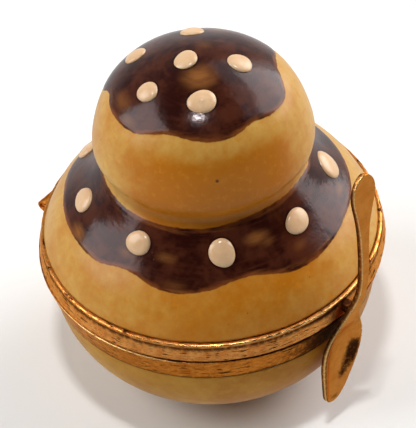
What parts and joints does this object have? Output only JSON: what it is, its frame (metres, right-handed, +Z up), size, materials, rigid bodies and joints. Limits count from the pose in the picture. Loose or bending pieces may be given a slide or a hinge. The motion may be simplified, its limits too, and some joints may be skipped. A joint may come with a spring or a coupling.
{
  "type": "profiterole-shaped porcelain trinket box",
  "caption": "Small hinged porcelain keepsake box in the form of a two-tier cream puff, with brass bezels, a barrel hinge at the back and a spoon-shaped clasp at the front",
  "frame": {"origin": "centre of the flat foot under the bowl", "axes": "+Z up; the spoon clasp faces -Y and the hinge pin runs along X on the +Y side"},
  "size_m": [0.052, 0.0551, 0.056],
  "materials": {
    "lid_glaze": "glossy hand-painted glaze: caramel yellow, with chocolate brown icing and raised cream enamel dots",
    "base_glaze": "glossy glaze in a duller yellow tan",
    "antique_brass": "worn gilt brass, scratched round the rim, darker in its gaps",
    "spoon_brass": "smooth coppery gilt brass with bright edges"
  },
  "bodies": {
    "base": {"base_bowl": "base_glaze", "base_bezel": "antique_brass", "hinge_pin": "antique_brass"},
    "lid": {"lid_shell": "lid_glaze", "lid_bezel": "antique_brass", "spoon_clasp": "spoon_brass"}
  },
  "joints": [
    {"name": "lid_hinge", "type": "hinge", "parent": "base", "child": "lid", "pos_m": [0, 0.02535, 0.0207], "axis": [-1, 0, 0], "range_deg": [0, 95]}
  ]
}
